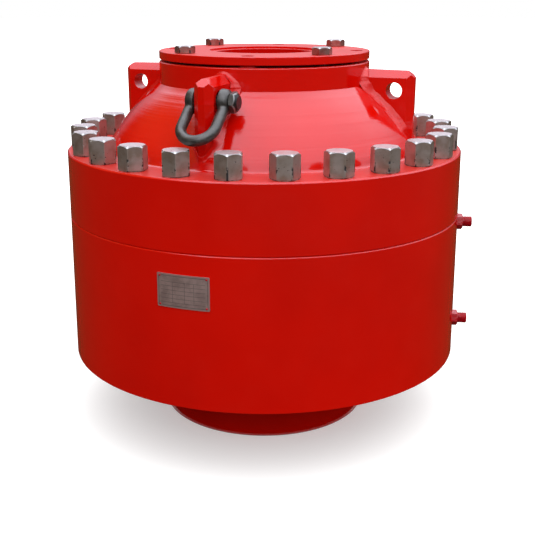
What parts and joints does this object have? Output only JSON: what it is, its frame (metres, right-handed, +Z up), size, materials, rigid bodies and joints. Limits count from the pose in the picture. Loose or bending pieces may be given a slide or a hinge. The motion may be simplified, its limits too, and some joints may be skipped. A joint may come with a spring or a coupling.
{
  "type": "annular blowout preventer",
  "caption": "Round wellhead preventer with a domed bolted head, through bore, lifting lugs, a shackle and hydraulic ports.",
  "frame": {"origin": "centre of the bottom flange's bolt circle, on the flange's face and the axis of the bore", "axes": "+Z up the bore, -Y towards the front lug, which carries the shackle and has the nameplate below it"},
  "size_m": [1.3012, 1.2735, 1.215],
  "materials": {
    "red_paint": "gloss",
    "packer_rubber": "matte",
    "bright_steel": "machined",
    "screw_steel": "satin",
    "forged_steel": "forged, matte",
    "plate_steel": "brushed"
  },
  "bodies": {
    "preventer": {"lower_housing": "red_paint", "head": "red_paint", "cover_plate": "red_paint", "lifting_lug_front": "red_paint", "lifting_lug_right": "red_paint", "lifting_lug_rear": "red_paint", "lifting_lug_left": "red_paint", "opening_port_fitting": "red_paint", "closing_port_fitting": "red_paint", "packing_element": "packer_rubber", "piston": "bright_steel", "adapter_ring": "bright_steel", "ring_gasket": "bright_steel", "head_screw_01": "screw_steel", "head_screw_02": "screw_steel", "head_screw_03": "screw_steel", "head_screw_04": "screw_steel", "head_screw_05": "screw_steel", "head_screw_06": "screw_steel", "head_screw_07": "screw_steel", "head_screw_08": "screw_steel", "head_screw_09": "screw_steel", "head_screw_10": "screw_steel", "head_screw_11": "screw_steel", "head_screw_12": "screw_steel", "head_screw_13": "screw_steel", "head_screw_14": "screw_steel", "head_screw_15": "screw_steel", "head_screw_16": "screw_steel", "head_screw_17": "screw_steel", "head_screw_18": "screw_steel", "head_screw_19": "screw_steel", "head_screw_20": "screw_steel", "head_screw_21": "screw_steel", "head_screw_22": "screw_steel", "head_screw_23": "screw_steel", "head_screw_24": "screw_steel", "cover_bolt_1": "screw_steel", "cover_bolt_2": "screw_steel", "cover_bolt_3": "screw_steel", "cover_bolt_4": "screw_steel", "nameplate": "plate_steel"},
    "shackle": {"shackle_bow": "forged_steel", "shackle_pin": "forged_steel"}
  },
  "joints": [
    {"name": "shackle_swing", "type": "hinge", "parent": "preventer", "child": "shackle", "pos_m": [0, -0.434, 1.0743], "axis": [-1, 0, 0], "range_deg": [0, 150]}
  ]
}
